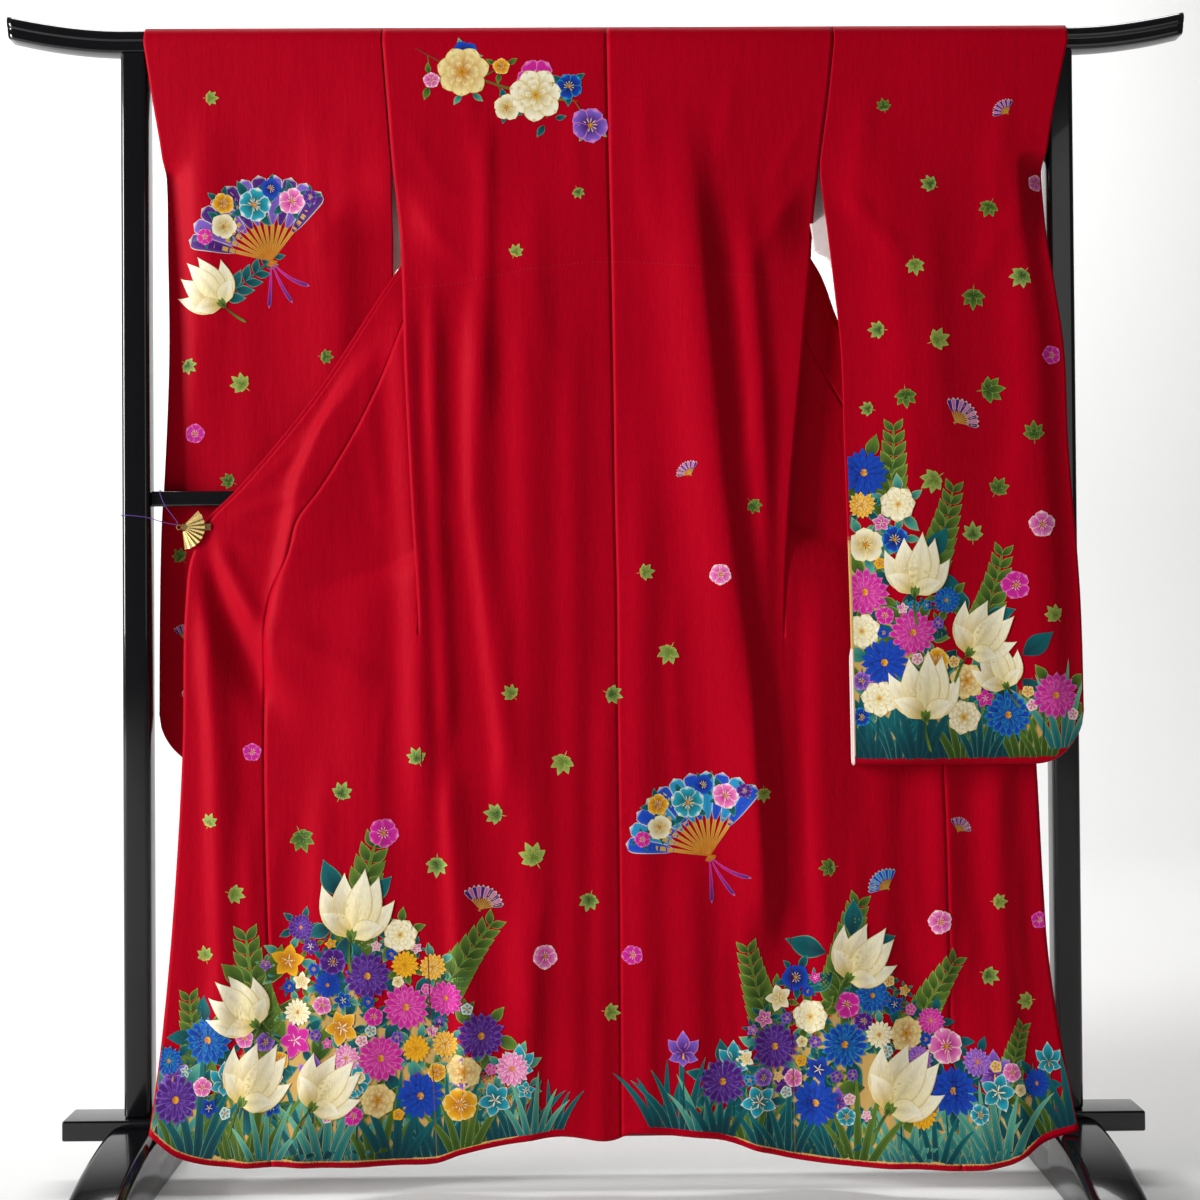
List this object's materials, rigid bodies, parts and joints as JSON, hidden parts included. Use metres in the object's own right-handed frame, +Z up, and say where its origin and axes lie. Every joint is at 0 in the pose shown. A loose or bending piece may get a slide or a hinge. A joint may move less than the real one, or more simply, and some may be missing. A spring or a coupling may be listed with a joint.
{
  "type": "furisode kimono on a kimono stand",
  "caption": "Long-sleeved silk furisode kimono draped over a lacquered wooden kimono stand, one front panel spread by a fan-shaped clip.",
  "frame": {"origin": "on the floor, midway between the two feet and under the rails", "axes": "+Z up, +X along the rails, -Y the side that the back of the kimono faces"},
  "size_m": [1.708, 0.54, 1.6862],
  "materials": {
    "lacquer": "black gloss lacquer over wood",
    "silk": "crimson silk crepe with a dyed flower pattern and a pale silk lining",
    "brass": "polished brass",
    "thread": "twisted purple thread"
  },
  "bodies": {
    "root": {"top_rail": "lacquer", "middle_rail": "lacquer", "bottom_bar": "lacquer", "post_left": "lacquer", "foot_left": "lacquer", "post_right": "lacquer", "foot_right": "lacquer", "body_left": "silk", "okumi_left": "silk", "body_right": "silk", "okumi_right": "silk", "collar": "silk", "sleeve_left": "silk", "sleeve_right": "silk", "clip_fan": "brass", "clip_jaw": "brass", "clip_ring": "brass", "clip_thread": "thread"}
  },
  "joints": []
}
